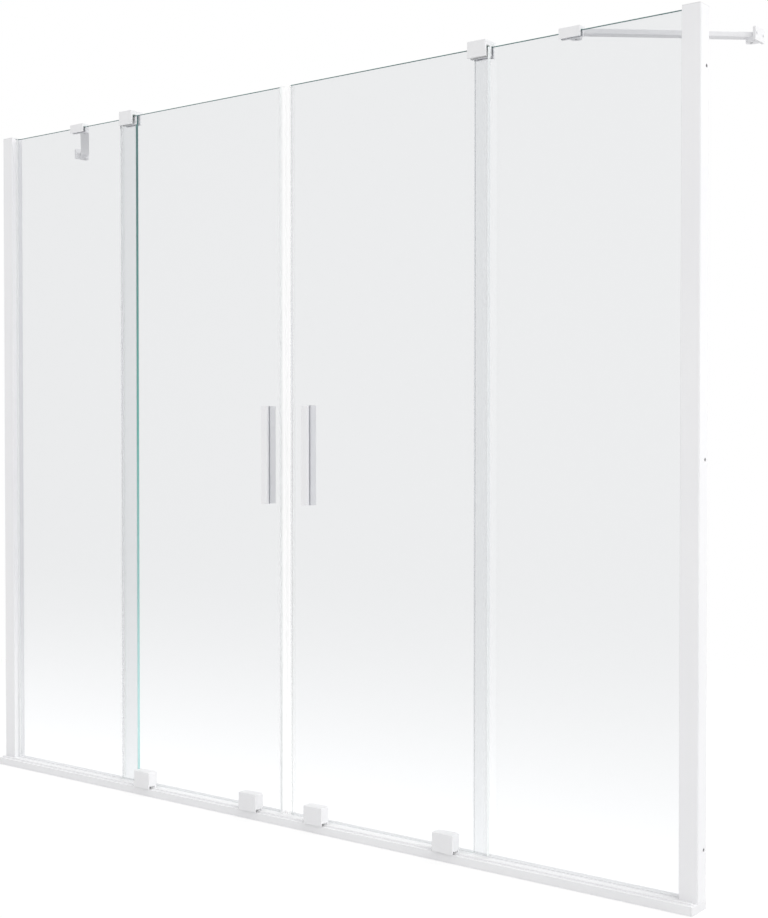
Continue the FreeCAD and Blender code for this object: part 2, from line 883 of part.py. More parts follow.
def brace_wall_bracket(name, side):
    """Plate on the wall with a lug that carries the far end of the brace bar."""
    body = piece(f"brace_wall_bracket_{name}")
    half = dim.bracket_width / 2
    top = lug_bottom + dim.bracket_height
    plate = rectangle(wall_pivot_y - half, wall_pivot_y + half, lug_bottom, top)
    extrude(body, "X", *span(side, bracket_face, half_width), [plate])
    dress(body, "Fillet", dim.bracket_corner, [
        (("Y", wall_pivot_y - half), ("Z", top)),
        (("Y", wall_pivot_y + half), ("Z", top)),
    ])
    lug_half = dim.bar_width / 2
    tongue = rectangle(wall_pivot_x, bracket_face, wall_pivot_y - lug_half, wall_pivot_y + lug_half)
    extrude(body, "Z", lug_bottom, bar_bottom, [mirrored(side, tongue)])
    extrude(body, "Z", lug_bottom, bar_bottom, rings=[(side * wall_pivot_x, wall_pivot_y, lug_half)])
    bore = dim.pivot_radius + dim.screw_clearance
    cut(body, "Z", lug_bottom, bar_bottom, rings=[(side * wall_pivot_x, wall_pivot_y, bore)])
    height = top - dim.bracket_hole_drop
    spread = dim.bracket_hole_spread / 2
    holes = [(wall_pivot_y + end * spread, height, dim.bracket_hole_radius) for end in (-1, 1)]
    cut(body, "X", *span(side, bracket_face, half_width), rings=holes)


def brace_pivot_screws():
    """Vertical screws on which the brace bars swing while the screen is fitted."""
    screws = []
    top = bar_bottom + dim.bar_thickness
    shoulder = top - dim.pivot_head_height
    outline = [
        (lug_bottom, 0),
        (lug_bottom, dim.pivot_radius),
        (shoulder, dim.pivot_radius),
        (shoulder, dim.pivot_head_radius),
        (top, dim.pivot_head_radius),
        (top, dim.socket_radius),
        (top - dim.socket_depth, dim.socket_radius),
        (top - dim.socket_depth, 0),
    ]
    for name, side in SIDES.items():
        for end, (x, y) in {"clip": (clip_x, clip_pivot_y), "wall": (wall_pivot_x, wall_pivot_y)}.items():
            body = new_body(f"brace_pivot_screw_{name}_{end}")
            turn(body, "Z", (side * x, y, 0), outline)
            screws.append(body)
    group("brace_pivot_screws", screws)


def handle_screw_heights():
    middle = dim.handle_base + dim.handle_height / 2
    return [middle + end * dim.handle_screw_spread / 2 for end in (-1, 1)]


def clamp_screw_places(roller):
    return [(roller + end * dim.clamp_screw_spread / 2, clamp_screw_z) for end in (-1, 1)]


def door_pane(name, side):
    """Toughened sliding pane, drilled for its handle and its two roller units."""
    body = piece(f"door_pane_{name}")
    outline = rectangle(door_inner, door_outer, door_bottom, door_top)
    extrude(body, "Y", door_front, door_back, [mirrored(side, outline)])
    arris(body, [
        ("X", side * door_inner),
        ("X", side * door_outer),
        ("Y", door_front),
        ("Y", door_back),
        ("Z", door_top),
        ("Z", door_bottom),
    ])
    places = [(handle_x, height) for height in handle_screw_heights()]
    for roller in roller_x.values():
        places += clamp_screw_places(roller)
    holes = [(side * place, height, dim.glass_hole_radius) for place, height in places]
    cut(body, "Y", door_front, door_back, rings=holes)


def centre_seal(name, side):
    """Magnetic strip that grips the door's inner edge and meets the other door's strip."""
    body = piece(f"centre_seal_{name}")
    nose = dim.seam_clearance / 2
    grip = door_inner + dim.seal_grip
    front = door_front - dim.seal_wall
    back = door_back + dim.seal_wall
    section = [
        (nose, front + dim.seal_bevel),
        (nose + dim.seal_bevel, front),
        (grip, front),
        (grip, door_front),
        (door_inner, door_front),
        (door_inner, door_back),
        (grip, door_back),
        (grip, back),
        (nose + dim.seal_bevel, back),
        (nose, back - dim.seal_bevel),
    ]
    extrude(body, "Z", door_bottom, door_top, [mirrored(side, section)])


def edge_seal(name, side):
    """Strip on the door's outer edge whose fin wipes the fixed pane."""
    body = piece(f"edge_seal_{name}")
    grip = door_outer - dim.seal_grip
    web = door_outer + dim.edge_web
    front = door_front - dim.seal_wall
    back = door_back + dim.seal_wall
    fin_tip = -glass_half - dim.fin_clearance
    section = [
        (grip, front),
        (web, front),
        (web, back),
        (web - dim.fin_lean, fin_tip),
        (web - dim.fin_lean - dim.fin_width, fin_tip),
        (web - dim.fin_width, back),
        (grip, back),
        (grip, door_back),
        (door_outer, door_back),
        (door_outer, door_front),
        (grip, door_front),
    ]
    extrude(body, "Z", door_bottom, guide_bottom - dim.edge_seal_drop, [mirrored(side, section)])


def handle_bar(label, side, near, far, face):
    """Square bar grip that lies flat on the glass, rounded along the hand's side."""
    body = piece(label)
    half = dim.handle_width / 2
    left = side * handle_x - half
    right = side * handle_x + half
    low = dim.handle_base
    high = low + dim.handle_height
    extrude(body, "Z", low, high, [rectangle(left, right, near, far)])
    corners = [(("X", edge), ("Y", face)) for edge in (left, right)]
    corners += [(("Z", end), ("Y", face)) for end in (low, high)]
    dress(body, "Fillet", dim.handle_round, corners)
    return body


def handles(name, side):
    """Outer and inner grip of one door, drawn together through the glass."""
    radius = dim.handle_screw_radius + dim.screw_clearance
    outer_face = door_front - dim.outer_grip_depth
    inner_face = door_back + dim.inner_grip_depth
    bite = door_front - dim.handle_screw_bite
    places = [(side * handle_x, height) for height in handle_screw_heights()]
    outer = handle_bar(f"outer_handle_{name}", side, outer_face, door_front, outer_face)
    cut(outer, "Y", bite, door_front, rings=[(*place, radius) for place in places])
    inner = handle_bar(f"inner_handle_{name}", side, door_back, inner_face, inner_face)
    cut(inner, "Y", door_back, inner_face, rings=[(*place, radius) for place in places])
    sink = dim.handle_head_radius + dim.screw_clearance
    seat = inner_face - dim.handle_head_height
    cut(inner, "Y", seat, inner_face, rings=[(*place, sink) for place in places])
    screws = []
    for number, (across, height) in enumerate(places, 1):
        body = new_body(f"handle_screw_{name}_{number}")
        outline = [
            (bite, 0),
            (bite, dim.handle_screw_radius),
            (seat, dim.handle_screw_radius),
            (seat, dim.handle_head_radius),
            (inner_face, dim.handle_head_radius),
            (inner_face, dim.socket_radius),
            (inner_face - dim.socket_depth, dim.socket_radius),
            (inner_face - dim.socket_depth, 0),
        ]
        turn(body, "Y", (across, 0, height), outline)
        screws.append(body)
    group(f"handle_screws_{name}", screws)


def roller_cover(label, x):
    """Box that hides one roller: open at the back and below, notched over the track."""
    body = piece(label)
    box = rectangle(x - cover_half, x + cover_half, cover_bottom, cover_top)
    extrude(body, "Y", cover_front, door_front, [box])
    corners = [(("Y", cover_front), ("Z", cover_top))]
    for end in (x - cover_half, x + cover_half):
        corners += [(("X", end), ("Y", cover_front)), (("X", end), ("Z", cover_top))]
    dress(body, "Fillet", dim.cover_round, corners)
    inside_front = cover_front + dim.cover_wall
    cavity = rectangle(x - cover_inside, x + cover_inside, cover_bottom, cover_ceiling)
    cut(body, "Y", inside_front, door_front, [cavity])
    notch = rectangle(inside_front, track_y + dim.notch_reach, cover_bottom, cover_bottom + dim.notch_height)
    cut(body, "X", x - cover_half, x + cover_half, [notch])


def roller_carrier(label, x):
    """Plate on the door's face with a shouldered axle riveted into it."""
    body = piece(label)
    plate = rectangle(x - cover_inside, x + cover_inside, cover_bottom + dim.carrier_lift, cover_ceiling)
    extrude(body, "Y", carrier_face, door_front, [plate])
    reach = dim.bearing_width / 2 + dim.axle_end_play
    root = dim.wheel_width / 2 + dim.wheel_gap + dim.carrier_thickness / 2
    shoulder = dim.axle_radius + dim.axle_shoulder
    outline = [
        (-reach - dim.axle_head, 0),
        (-reach - dim.axle_head, shoulder),
        (-reach, shoulder),
        (-reach, dim.axle_radius),
        (reach, dim.axle_radius),
        (reach, shoulder),
        (root, shoulder),
        (root, 0),
    ]
    turn(body, "Y", (x, track_y, axle_z), outline)
    radius = dim.clamp_screw_radius + dim.screw_clearance
    cut(body, "Y", carrier_face, door_front, rings=[(*place, radius) for place in clamp_screw_places(x)])


def roller_wheel(label, x):
    """Grooved wheel that straddles the rail's track."""
    body = piece(label)
    half = dim.wheel_width / 2
    seat = dim.bearing_width / 2
    root = dim.wheel_radius - dim.rolling_clearance
    lip = dim.bearing_outer_radius - dim.wheel_lip
    outline = [
        (-half, dim.bearing_outer_radius),
        (-half, flange_radius),
        (-dim.groove_mouth / 2, flange_radius),
        (-dim.groove_root / 2, root),
        (dim.groove_root / 2, root),
        (dim.groove_mouth / 2, flange_radius),
        (half, flange_radius),
        (half, lip),
        (seat, lip),
        (seat, dim.bearing_outer_radius),
    ]
    turn(body, "Y", (x, track_y, axle_z), outline)


def roller_bearing(label, x):
    """Ball bearing of one wheel: two races with sunk shields between them."""
    body = piece(label)
    half = dim.bearing_width / 2
    shield = half - dim.shield_recess
    bore = dim.axle_radius + dim.axle_clearance
    inner_race = bore + dim.bearing_race
    outer_race = dim.bearing_outer_radius - dim.bearing_race
    outline = [
        (-half, bore),
        (-half, inner_race),
        (-shield, inner_race),
        (-shield, outer_race),
        (-half, outer_race),
        (-half, dim.bearing_outer_radius),
        (half, dim.bearing_outer_radius),
        (half, outer_race),
        (shield, outer_race),
        (shield, inner_race),
        (half, inner_race),
        (half, bore),
    ]
    turn(body, "Y", (x, track_y, axle_z), outline)


def clamp_plate(label, x):
    """Thin plate behind the door glass that takes the screws of one roller unit."""
    body = new_body(label)
    low = cover_ceiling - dim.clamp_plate_height
    left = x - dim.clamp_plate_width / 2
    right = x + dim.clamp_plate_width / 2
    back = door_back + dim.clamp_plate_thickness
    extrude(body, "Y", door_back, back, [rectangle(left, right, low, cover_ceiling)])
    radius = dim.clamp_screw_radius + dim.screw_clearance
    cut(body, "Y", door_back, back, rings=[(*place, radius) for place in clamp_screw_places(x)])
    dress(body, "Fillet", dim.clamp_plate_corner, [
        (("X", end), ("Z", level)) for end in (left, right) for level in (low, cover_ceiling)
    ])
    return body


def clamp_screw(label, place, height):
    """Low-headed screw from the clamp plate through the glass into the carrier."""
    body = new_body(label)
    seat = door_back + dim.clamp_plate_thickness
    outline = [
        (carrier_face, 0),
        (carrier_face, dim.clamp_screw_radius),
        (seat, dim.clamp_screw_radius),
        (seat, dim.clamp_head_radius),
        (seat + dim.clamp_head_height, dim.clamp_head_radius),
        (seat + dim.clamp_head_height, 0),
    ]
    turn(body, "Y", (place, 0, height), outline)
    return body


def roller_units(name, side):
    """The two roller units of one door."""
    plates = []
    screws = []
    for end, distance in roller_x.items():
        x = side * distance
        roller_cover(f"roller_cover_{name}_{end}", x)
        roller_carrier(f"roller_carrier_{name}_{end}", x)
        roller_wheel(f"roller_wheel_{name}_{end}", x)
        roller_bearing(f"roller_bearing_{name}_{end}", x)
        plates.append(clamp_plate(f"clamp_plate_{name}_{end}", x))
        for number, (place, height) in enumerate(clamp_screw_places(x), 1):
            screws.append(clamp_screw(f"roller_screw_{name}_{end}_{number}", place, height))
    group(f"clamp_plates_{name}", plates)
    group(f"roller_screws_{name}", screws)


def build():
    """Makes every piece of the screen."""
    bottom_rail()
    channel_infill_strip()
    profile_top_caps()
    profile_screws()
    clamp_set_screws()
    brace_pivot_screws()
    for name, side in SIDES.items():
        rail_end_cap(name, side)
        wall_channel(name, side)
        pane_profile(name, side)
        fixed_pane(name, side)
        glazing_gasket(name, side)
        bed_gasket(name, side)
        top_guide(name, side)
        guide_liner(name, side)
        brace_clip(name, side)
        brace_bar(name, side)
        brace_wall_bracket(name, side)
        door_pane(name, side)
        centre_seal(name, side)
        edge_seal(name, side)
        handles(name, side)
        roller_units(name, side)
    document.recompute()


def check():
    """Stops the build where a feature failed, a cut took nothing away or a shape is unsound."""
    for item in document.Objects:
        if "Invalid" in item.State or "Error" in item.State:
            raise RuntimeError(f"{item.Label} failed: {item.State}")
        if item.TypeId == "PartDesign::Pocket":
            removed = item.BaseFeature.Shape.Volume - item.Shape.Volume
            if removed < LEAST_CUT:
                raise RuntimeError(f"{item.Label} cuts nothing away")
    for name, item in nodes.items():
        if item.Shape.isNull() or not item.Shape.isValid():
            raise RuntimeError(f"{name} has no sound shape")
        if not item.Shape.Solids:
            raise RuntimeError(f"{name} holds no solid")


def export():
    """Writes one file for each node."""
    os.makedirs("parts", exist_ok=True)
    for name, item in nodes.items():
        item.Shape.exportStep(f"parts/{name}.step")
        print(f"{name}: {len(item.Shape.Solids)} solid, {item.Shape.Volume / 1000:.2f} cm3")


build()
check()
export()
print(f"{len(nodes)} nodes")
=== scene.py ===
"""Looks of a sliding bath screen: its glass, seals, finishes and studio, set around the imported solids."""

import json
import math

import bmesh
import bpy
from bpy.props import FloatProperty, FloatVectorProperty, PointerProperty
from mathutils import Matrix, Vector


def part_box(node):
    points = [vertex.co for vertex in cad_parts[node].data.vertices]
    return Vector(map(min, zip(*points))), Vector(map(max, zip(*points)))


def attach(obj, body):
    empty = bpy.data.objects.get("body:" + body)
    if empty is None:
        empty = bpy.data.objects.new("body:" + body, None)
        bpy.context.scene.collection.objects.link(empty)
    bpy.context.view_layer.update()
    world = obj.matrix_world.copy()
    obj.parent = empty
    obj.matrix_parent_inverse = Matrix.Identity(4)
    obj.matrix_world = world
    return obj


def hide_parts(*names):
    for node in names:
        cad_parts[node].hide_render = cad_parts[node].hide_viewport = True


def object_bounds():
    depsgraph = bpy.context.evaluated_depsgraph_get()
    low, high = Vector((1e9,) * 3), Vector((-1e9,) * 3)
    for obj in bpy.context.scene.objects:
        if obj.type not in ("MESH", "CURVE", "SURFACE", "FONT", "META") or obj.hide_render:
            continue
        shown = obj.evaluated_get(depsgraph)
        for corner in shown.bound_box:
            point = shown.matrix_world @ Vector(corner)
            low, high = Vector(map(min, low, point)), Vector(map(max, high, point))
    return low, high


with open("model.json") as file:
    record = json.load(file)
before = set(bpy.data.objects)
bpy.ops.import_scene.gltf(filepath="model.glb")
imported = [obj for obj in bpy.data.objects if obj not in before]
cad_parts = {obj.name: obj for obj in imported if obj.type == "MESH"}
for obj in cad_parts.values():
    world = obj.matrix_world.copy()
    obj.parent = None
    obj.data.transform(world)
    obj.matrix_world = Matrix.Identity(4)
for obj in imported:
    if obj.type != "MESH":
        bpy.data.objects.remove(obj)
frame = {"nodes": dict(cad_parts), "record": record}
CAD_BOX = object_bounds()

bl_info = {
    "name": "Sliding bath screen",
    "version": (1, 0, 0),
    "blender": (4, 5, 0),
    "location": "View3D > Sidebar > Bath screen",
    "description": "Glass, seals, finishes and studio of a sliding bath screen",
    "category": "Object",
}

SIDES = {"left": -1, "right": 1}
MILLIMETRE = 0.001
TOUCHING = 0.01 * MILLIMETRE
WHITE = (1.0, 1.0, 1.0, 1.0)

# Refractive indices. That of the noses is low, so that they blur the light but lose little of it
COAT_INDEX, GLASS_INDEX, PVC_INDEX, NOSE_INDEX, ACETAL_INDEX = 1.4, 1.52, 1.53, 1.1, 1.48

# Most values of a noise lie between these two
NOISE_LOW, NOISE_HIGH = 0.3, 0.7

# Length over spacing of the marks of making: on open glass edges, on sealed ones, on seals, on turned pieces
GRIND_RATIO, SEALED_GRIND_RATIO, DRAW_RATIO, TURN_RATIO = 12, 60, 60, 6

# Length over spacing of the waves in the glass, which run across a pane
WAVE_RATIO = 3

# Least part of a normal along an axis: for a face or an arris at 45 degrees, and for a face alone
FACING, STRAIGHT = 0.7, 0.99

# Y of the directions between which the room turns from the grey in front to the white behind
ROOM_FRONT, ROOM_BEHIND = -0.3, 0.3

# Towards the key light
KEY_DIRECTION = Vector((0.64, 0.08, 0.765))

# Found from the photo's perspective
CAMERA_PLACE = (1.911173, -2.195422, 0.792209)
CAMERA_TURN = (math.radians(90 - 0.9925), 0, math.radians(37.3436))

# Sockets of the colour Mix node, which share names between its kinds of data
MIX_FACTOR, MIX_FIRST, MIX_SECOND, MIX_RESULT = 0, 6, 7, 2


def linear(code):
    """An sRGB hex colour as linear red, green, blue and alpha."""
    shares = [int(code[i:i + 2], 16) / 255 for i in (1, 3, 5)]
    return tuple(s / 12.92 if s <= 0.04045 else ((s + 0.055) / 1.055) ** 2.4 for s in shares) + (1.0,)


def colour_size(name, description, code):
    """A colour that the user can change, given as sRGB hex."""
    return FloatVectorProperty(
        name=name, description=description, subtype="COLOR", size=4, min=0.0, max=1.0, default=linear(code)
    )


def length_size(name, description, millimetres):
    """A length that the user can change, given in millimetres and kept in metres."""
    return FloatProperty(
        name=name,
        description=description,
        subtype="DISTANCE",
        unit="LENGTH",
        default=millimetres * MILLIMETRE,
    )


def share_size(name, description, share):
    """A number from 0 to 1 that the user can change."""
    return FloatProperty(
        name=name, description=description, subtype="FACTOR", min=0.0, max=1.0, default=share
    )


def level_size(name, description, level):
    """A strength that the user can change."""
    return FloatProperty(name=name, description=description, default=level)


class ScreenFinishes(bpy.types.PropertyGroup):
    """Colours and surface textures of the screen's materials."""

    coat_colour: colour_size("Powder coat", "White of the coated metal", "#F7F7F8")
    coat_shade: colour_size("Powder coat shade", "Slightly deeper white where the coat is thinner", "#F2F2F4")
    casting_colour: colour_size("Coated castings", "White of the coated covers, guides and braces", "#F4F4F5")
    casting_shade: colour_size("Castings shade", "Deeper white where their coat is thinner", "#EFEFF1")
    coat_peel: length_size("Orange peel", "Spacing of the ripple in the powder coat", 5)
    coat_cloud: length_size("Coat cloud", "Spacing of the slow change of tone in the powder coat", 160)
    moulded_colour: colour_size("Moulded plastic", "White of the moulded caps", "#EEEEEF")
    moulded_shade: colour_size("Moulded plastic shade", "Slightly deeper white in the grain", "#EAEAEC")
    moulded_grain: length_size("Mould grain", "Spacing of the spark-eroded grain", 2)
    glass_tint: colour_size("Glass tint", "What the thickness of a pane takes from the light", "#F0F1F2")
    glass_shade: colour_size("Glass shade", "What a pane's face lets through of the lamps' light", "#E6E6E8")
    shade_from: length_size("Shade from", "Height above which a pane throws its whole shade", 450)
    shade_to: length_size("Shade down to", "Height below which a pane throws no shade", 120)
    glass_wave: length_size("Roller wave", "Spacing of the waves that the oven's rollers leave", 280)
    # The three edge colours form a ramp by height. The sea green is the glass's own; the deeper green at the
    # top is painted shade; the pale aqua near the rail is painted light from the white rail.
    edge_upper_painted_shade: colour_size("Upper glass edge", "Deep sea green of the ground edge near its top", "#3C7672")
    edge_middle: colour_size("Middle glass edge", "Sea green of the ground edge at half height", "#63BDB0")
    edge_lower_painted_light: colour_size("Lower glass edge", "Pale aqua near the white rail", "#CBFAF7")
    # Pale white-aqua of the arrises and sealed edges: painted light, standing for the light of the seals and
    # the white rail
    edge_pale_painted_light: colour_size("Pale glass edge", "Arrises, and ground edges under seals", "#F6FAFA")
    edge_grind: length_size("Edge grinding", "Spacing of the grinding lines on the glass edges", 1.5)
    seal_tint: colour_size("Seal tint", "White of the haze in the clear seals", "#FBFDFD")
    seal_haze: share_size("Seal haze", "How much each face of a clear seal hides", 0.03)
    seal_draw: length_size("Seal draw lines", "Spacing of the lines that the die leaves along a seal", 1.2)
    nose_colour: colour_size("Seal nose", "Milky white of the noses that hold the magnets", "#FDFDFD")
    nose_clear: share_size("Nose clearness", "How much of the light behind them the noses let through", 0.92)
    gasket_colour: colour_size("Gasket", "Near white of the soft gaskets", "#F1F2F3")
    gasket_grain: length_size("Gasket grain", "Spacing of the dull grain on the gaskets", 2)
    acetal_colour: colour_size("Acetal", "Natural white of the wheels and guide liners", "#F2F2EE")
    steel_colour: colour_size("Stainless steel", "Colour of the screws, axles and bearings", "#C3C4C6")
    turning: length_size("Turning lines", "Spacing of the tool lines on turned steel and acetal", 0.8)


class ScreenSizes(bpy.types.PropertyGroup):
    """Sizes of the pieces that are modelled here."""

    seal_wall: length_size("Seal wall", "Wall of the centre seal between the glass and its nose", 1)
    seal_round: length_size("Seal rounding", "Rounding of the centre seal's free edges", 0.3)
    nose_round: length_size("Nose rounding", "Rounding of the noses where the doors meet", 1.6)
    glue_line: length_size("Glue line", "Gap round the glass, its seals and their noses", 0.05)


class StudioSettings(bpy.types.PropertyGroup):
    """Floor, light and camera round the screen."""

    floor_size: length_size("Floor", "Width of the pale floor", 24000)
    floor_gap: length_size("Floor gap", "How far the floor lies below the rail", 0.5)
    floor_colour: colour_size("Floor colour", "White of the floor", "#F2F2F2")
    floor_shaded: colour_size("Floor shadow", "What the floor gives back of the lamps' light", "#8C8C8C")
    floor_glow: level_size("Floor glow", "Light that the floor gives by itself, near the screen", 0.76)
    fade_start: length_size("Shadow fade start", "Distance at which the floor's shadow begins to fade", 1200)
    fade_end: length_size("Shadow fade end", "Distance from which the floor is plain white", 2400)
    # The floor's pool is painted light: behind the glass, the floor glows brighter than white
    painted_pool_level: level_size("Floor pool", "How far above white the floor is behind the glass", 0.28)
    pool_reach: length_size("Floor pool reach", "How far off that brightness falls to about a third", 950)
    room_level: level_size("Room light", "Strength of the even light of the room", 0.785)
    key_level: level_size("Key light", "Strength of the broad light from the right and above", 1.2)
    key_spread: FloatProperty(
        name="Key spread", description="How broad the key light is", subtype="ANGLE", default=math.radians(80)
    )
    key_distance: length_size("Key distance", "Distance of the key light", 6000)
    front_grey: colour_size("Room in front", "What the glass mirrors from behind the camera", "#7A7A7C")
    lens: FloatProperty(
        name="Lens",
        description="Focal length of the camera",
        subtype="DISTANCE_CAMERA",
        unit="CAMERA",
        default=55.978,
    )


def add_node(tree, kind, settings=None, sockets=None):
    """A new node with its settings, its values, and links from the sockets that feed it."""
    node = tree.nodes.new(kind)
    for name, value in (settings or {}).items():
        setattr(node, name, value)
    for name, value in (sockets or {}).items():
        if isinstance(value, bpy.types.NodeSocket):
            tree.links.new(value, node.inputs[name])
        else:
            node.inputs[name].default_value = value
    return node


def start_material(name):
    """An empty node material, with its tree, shader, output and Object coordinates."""
    material = bpy.data.materials.new(name)
    material.use_nodes = True
    tree = material.node_tree
    tree.nodes.clear()
    shader = add_node(tree, "ShaderNodeBsdfPrincipled")
    output = add_node(tree, "ShaderNodeOutputMaterial", sockets={"Surface": shader.outputs["BSDF"]})
    place = add_node(tree, "ShaderNodeTexCoord").outputs["Object"]
    return material, tree, shader, output, place


def noise_at(tree, place, spacing, detail=2.0, stretch=(1, 1, 1)):
    """Height of a noise whose cells are about spacing metres across, longer where stretch is above 1."""
    scale = [1 / (spacing * s) for s in stretch]
    mapping = add_node(tree, "ShaderNodeMapping", sockets={"Vector": place, "Scale": scale})
    noise = add_node(
        tree,
        "ShaderNodeTexNoise",
        sockets={"Vector": mapping.outputs["Vector"], "Scale": 1.0, "Detail": detail},
    )
    return noise.outputs["Fac"]


def roughened(tree, shader, height, smooth, rough):
    """Lets a noise move the roughness between two values."""
    spread = add_node(
        tree,
        "ShaderNodeMapRange",
        sockets={
            "Value": height,
            "From Min": NOISE_LOW,
            "From Max": NOISE_HIGH,
            "To Min": smooth,
            "To Max": rough,
        },
    )
    tree.links.new(spread.outputs["Result"], shader.inputs["Roughness"])


def embossed(tree, shader, height, depth):
    """Raises the surface by depth metres where the noise is high."""
    bump = add_node(tree, "ShaderNodeBump", sockets={"Strength": 1.0, "Distance": depth, "Height": height})
    tree.links.new(bump.outputs["Normal"], shader.inputs["Normal"])


def mixed_colour(tree, factor, first, second):
    """The first colour where the factor is 0, and the second where it is 1."""
    mix = add_node(
        tree,
        "ShaderNodeMix",
        settings={"data_type": "RGBA"},
        sockets={MIX_FACTOR: factor, MIX_FIRST: first, MIX_SECOND: second},
    )
    return mix.outputs[MIX_RESULT]


def mixed_shader(tree, factor, first, second):
    """The first shader where the factor is 0, and the second where it is 1."""
    mix = add_node(tree, "ShaderNodeMixShader", sockets={"Fac": factor, 1: first, 2: second})
    return mix.outputs["Shader"]


def calculated(tree, operation, *values):
    """The result of one step of arithmetic on numbers or sockets."""
    step = add_node(
        tree, "ShaderNodeMath", settings={"operation": operation}, sockets=dict(enumerate(values))
    )
    return step.outputs["Value"]


def toned(tree, shader, factor, first, second):
    """Lets a factor move the base colour between two colours."""
    tree.links.new(mixed_colour(tree, factor, first, second), shader.inputs["Base Color"])


def lamps_pass(tree, shader, output, tint):
    """Lets lamps and soft light through a clear piece on to what is near it, with a tint at each face."""
    clear = add_node(tree, "ShaderNodeBsdfTransparent", sockets={"Color": tint})
    path = add_node(tree, "ShaderNodeLightPath")
    lighting = calculated(tree, "MAXIMUM", path.outputs["Is Shadow Ray"], path.outputs["Is Diffuse Ray"])
    shown = mixed_shader(tree, lighting, shader.outputs["BSDF"], clear.outputs["BSDF"])
    tree.links.new(shown, output.inputs["Surface"])


def powder_coat(finishes, name, shade, colour):
    """Polyester powder, sprayed on metal and baked: satin white, with a soft orange-peel ripple.

    The real ripple is 1 to 3 mm across, which the picture can't show, so it is drawn a little coarser.
    """
    material, tree, shader, _, place = start_material(name)
    ripple = noise_at(tree, place, finishes.coat_peel)
    cloud = noise_at(tree, place, finishes.coat_cloud, detail=1.0)
    toned(tree, shader, cloud, shade, colour)
    roughened(tree, shader, ripple, smooth=0.34, rough=0.42)
    embossed(tree, shader, ripple, depth=0.03 * MILLIMETRE)
    shader.inputs["IOR"].default_value = COAT_INDEX
    return material


def coated_aluminium(finishes):
    """Powder coat on the extruded rail, uprights and handles."""
    return powder_coat(finishes, "white_coated_aluminium", finishes.coat_shade, finishes.coat_colour)


def coated_casting(finishes):
    """Powder coat on zinc castings, drawn a little greyer than on the extrusions."""
    return powder_coat(finishes, "white_coated_casting", finishes.casting_shade, finishes.casting_colour)


def moulded_plastic(finishes):
    """ABS, injection moulded in a spark-eroded tool: a dull, even grain and a slightly greyer white.

    The real grain is under 0.5 mm, so it is drawn coarser here.
    """
    material, tree, shader, _, place = start_material("moulded_white_abs")
    grain = noise_at(tree, place, finishes.moulded_grain, detail=3.0)
    toned(tree, shader, grain, finishes.moulded_shade, finishes.moulded_colour)
    roughened(tree, shader, grain, smooth=0.42, rough=0.55)
    embossed(tree, shader, grain, depth=0.04 * MILLIMETRE)
    shader.inputs["IOR"].default_value = COAT_INDEX
    return material


def float_glass(finishes):
    """Clear float glass, toughened: polished on both faces, with a faint tint from its thickness.

    The rollers of the oven leave very shallow waves across it, which only a mirrored edge gives away.
    """
    material, tree, shader, output, place = start_material("toughened_float_glass")
    polished(shader, finishes)
    wave = noise_at(tree, place, finishes.glass_wave, detail=0.0, stretch=(WAVE_RATIO, WAVE_RATIO, 1))
    embossed(tree, shader, wave, depth=0.1 * MILLIMETRE)
    lamps_pass(tree, shader, output, pane_shade(tree, place, finishes))
    return material


def polished(shader, finishes):
    """Sets the values of clear, polished glass."""
    shader.inputs["Base Color"].default_value = finishes.glass_tint
    shader.inputs["Transmission Weight"].default_value = 1.0
    shader.inputs["Roughness"].default_value = 0.0
    shader.inputs["IOR"].default_value = GLASS_INDEX


def pane_shade(tree, place, finishes):
    """The shade that a pane throws, which the glow of the floor makes up for near the rail."""
    height = add_node(tree, "ShaderNodeSeparateXYZ", sockets={"Vector": place}).outputs["Z"]
    near_rail = add_node(
        tree,
        "ShaderNodeMapRange",
        sockets={"Value": height, "From Min": finishes.shade_from, "From Max": finishes.shade_to},
    )
    return mixed_colour(tree, near_rail.outputs["Result"], finishes.glass_shade, WHITE)


def mirror_within(tree, shader, output, finishes):
    """Leaves an edge as clear as the faces to light that meets it from inside the pane."""
    clear = add_node(tree, "ShaderNodeBsdfPrincipled")
    polished(clear, finishes)
    inside = add_node(tree, "ShaderNodeNewGeometry").outputs["Backfacing"]
    shown = mixed_shader(tree, inside, shader.outputs["BSDF"], clear.outputs["BSDF"])
    tree.links.new(shown, output.inputs["Surface"])


def ground_edge(finishes, name):
    """Ground and seamed glass edge: light that has crossed the whole pane leaves it sea green.

    Its colour is painted by height: painted shade deepens it towards the top, and painted light from the
    white rail pales it near the rail.
    """
    material, tree, shader, output, place = start_material(name)
    height = add_node(tree, "ShaderNodeSeparateXYZ", sockets={"Vector": place}).outputs["Z"]
    share = add_node(tree, "ShaderNodeMapRange", sockets={"Value": height, "From Max": CAD_BOX[1].z})
    ramp = add_node(tree, "ShaderNodeValToRGB", sockets={"Fac": share.outputs["Result"]})
    stops = ramp.color_ramp.elements
    middle = stops.new(0.5)
    # The top stop is painted shade, and the lowest stop is painted light from the white rail
    for stop, share_of_height, colour in (
        (stops[0], 0.13, finishes.edge_lower_painted_light),
        (middle, 0.53, finishes.edge_middle),
        (stops[-1], 0.88, finishes.edge_upper_painted_shade),
    ):
        stop.position = share_of_height
        stop.color = colour
    tree.links.new(ramp.outputs["Color"], shader.inputs["Base Color"])
    lines = noise_at(tree, place, finishes.edge_grind, stretch=(1, 1, GRIND_RATIO))
    roughened(tree, shader, lines, smooth=0.18, rough=0.34)
    shader.inputs["IOR"].default_value = GLASS_INDEX
    return material, tree, shader, output


def top_edge(finishes):
    """Ground upper edge, in the dark top of the edge ramp: painted shade, where no light from below gets out.
    """
    return ground_edge(finishes, "ground_top_edge")[0]


def side_edge(finishes):
    """Ground upright edge. From within the pane it is a mirror, as any glass face is at a low angle."""
    material, tree, shader, output = ground_edge(finishes, "ground_side_edge")
    mirror_within(tree, shader, output, finishes)
    return material


